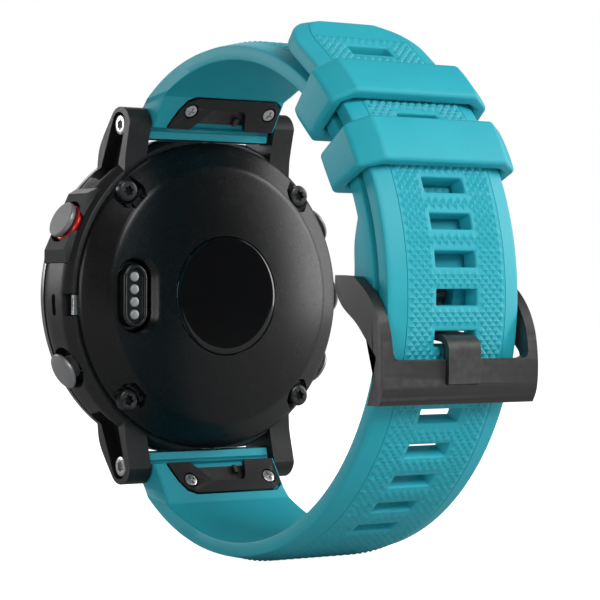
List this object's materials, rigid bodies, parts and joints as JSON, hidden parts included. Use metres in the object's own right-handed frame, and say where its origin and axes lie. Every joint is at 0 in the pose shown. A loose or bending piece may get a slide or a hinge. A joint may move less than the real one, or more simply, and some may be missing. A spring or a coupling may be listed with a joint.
{
  "type": "round sports watch with a buckled silicone band",
  "caption": "Round sports watch with push buttons, a rear charging socket and optical sensor window, on a two-piece buckled silicone band with quick-release ends.",
  "frame": {"origin": "centre of the sensor window's outer face, where the watch back rests on the wrist", "axes": "+Y out of the case back towards the wrist and the buckle, so the display faces -Y; +X towards 3 o'clock, where the start and back buttons are; +Z towards 12 o'clock"},
  "size_m": [0.0502, 0.0709, 0.0755],
  "materials": {
    "case": "fine matte moulded polymer",
    "back": "black coated steel, satin",
    "bezel": "brushed dark steel",
    "glass": "dark front glass",
    "window": "polished black window",
    "display": "dark display panel, off",
    "seal": "matte black seal",
    "frame": "moulded dark plastic",
    "board": "green circuit board",
    "battery": "foil wrapped cell",
    "brass": "thin brass disc",
    "steel": "bright steel",
    "bar": "black coated steel bar",
    "port": "gloss black moulding",
    "contact": "nickel plated contact",
    "screw": "black coated steel screw",
    "button": "satin grey steel",
    "red": "red accent ring",
    "silicone": "teal silicone, matte, with a moulded pyramid grain on the outer face",
    "gunmetal": "gunmetal coated steel, satin",
    "plate": "black coated steel"
  },
  "bodies": {
    "watch": {"case_body": "case", "case_back": "back", "back_screw_1": "screw", "back_screw_2": "screw", "back_screw_3": "screw", "back_screw_4": "screw", "sensor_window": "window", "port_housing": "port", "charge_contact_1": "contact", "charge_contact_2": "contact", "charge_contact_3": "contact", "charge_contact_4": "contact", "bezel": "bezel", "lens_gasket": "seal", "back_gasket": "seal", "lens": "glass", "display": "display", "inner_frame": "frame", "main_board": "board", "sensor_board": "board", "battery": "battery", "vibration_motor": "steel", "air_port_cover": "steel", "beeper": "brass", "spring_start": "steel", "spring_back": "steel", "spring_light": "steel", "spring_up": "steel", "spring_down": "steel", "lug_bar_upper": "bar", "lug_bar_lower": "bar", "lug_screw_upper_right": "steel", "lug_screw_upper_left": "steel", "lug_screw_lower_right": "steel", "lug_screw_lower_left": "steel", "strap_short": "silicone", "strap_long": "silicone", "latch_plate_upper": "plate", "latch_plate_lower": "plate", "latch_screw_upper_1": "steel", "latch_screw_upper_2": "steel", "latch_screw_lower_1": "steel", "latch_screw_lower_2": "steel", "latch_spring_upper": "steel", "latch_spring_lower": "steel"},
    "button_start": {"button_start": "button", "start_ring": "red"},
    "button_back": {"button_back": "button"},
    "button_light": {"button_light": "button"},
    "button_up": {"button_up": "button"},
    "button_down": {"button_down": "button"},
    "keeper_lower": {"keeper_lower": "silicone"},
    "keeper_upper": {"keeper_upper": "silicone"},
    "buckle": {"buckle_frame": "gunmetal", "buckle_pin": "steel"},
    "tongue": {"buckle_tongue": "gunmetal"},
    "latch_lower": {"latch_lower": "plate"},
    "latch_upper": {"latch_upper": "plate"}
  },
  "joints": [
    {"name": "press_start", "type": "slide", "parent": "watch", "child": "button_start", "axis": [-0.8988, 0, -0.4384], "range_m": [0, 0.0008], "stiffness_N_per_m": 2500, "springref_m": -0.0004, "deforming": ["spring_start"]},
    {"name": "press_back", "type": "slide", "parent": "watch", "child": "button_back", "axis": [-0.8988, 0, 0.4384], "range_m": [0, 0.0008], "stiffness_N_per_m": 2500, "springref_m": -0.0004, "deforming": ["spring_back"]},
    {"name": "press_light", "type": "slide", "parent": "watch", "child": "button_light", "axis": [0.8988, 0, -0.4384], "range_m": [0, 0.0008], "stiffness_N_per_m": 2500, "springref_m": -0.0004, "deforming": ["spring_light"]},
    {"name": "press_up", "type": "slide", "parent": "watch", "child": "button_up", "axis": [1, 0, 0], "range_m": [0, 0.0008], "stiffness_N_per_m": 2500, "springref_m": -0.0004, "deforming": ["spring_up"]},
    {"name": "press_down", "type": "slide", "parent": "watch", "child": "button_down", "axis": [0.8988, 0, 0.4384], "range_m": [0, 0.0008], "stiffness_N_per_m": 2500, "springref_m": -0.0004, "deforming": ["spring_down"]},
    {"name": "release_lower", "type": "slide", "parent": "watch", "child": "latch_lower", "axis": [0, 0.5717, -0.8205], "range_m": [0, 0.0013], "stiffness_N_per_m": 1200, "springref_m": -0.0005, "deforming": ["latch_spring_lower"]},
    {"name": "release_upper", "type": "slide", "parent": "watch", "child": "latch_upper", "axis": [0, 0.5717, 0.8205], "range_m": [0, 0.0013], "stiffness_N_per_m": 1200, "springref_m": -0.0005, "deforming": ["latch_spring_upper"]},
    {"name": "keeper_lower_slide", "type": "hinge", "parent": "watch", "child": "keeper_lower", "pos_m": [0, 0.0154, 0], "axis": [1, 0, 0], "range_deg": [-4.5, 2.3]},
    {"name": "keeper_upper_slide", "type": "hinge", "parent": "watch", "child": "keeper_upper", "pos_m": [0, 0.0154, 0], "axis": [1, 0, 0], "range_deg": [-2.3, 7]},
    {"name": "buckle_hinge", "type": "hinge", "parent": "watch", "child": "buckle", "pos_m": [0, 0.0483, 0.0003], "axis": [1, 0, 0], "range_deg": [0, 3]},
    {"name": "tongue_hinge", "type": "hinge", "parent": "buckle", "child": "tongue", "pos_m": [0, 0.0483, 0.0003], "axis": [1, 0, 0], "range_deg": [0, 1]}
  ]
}
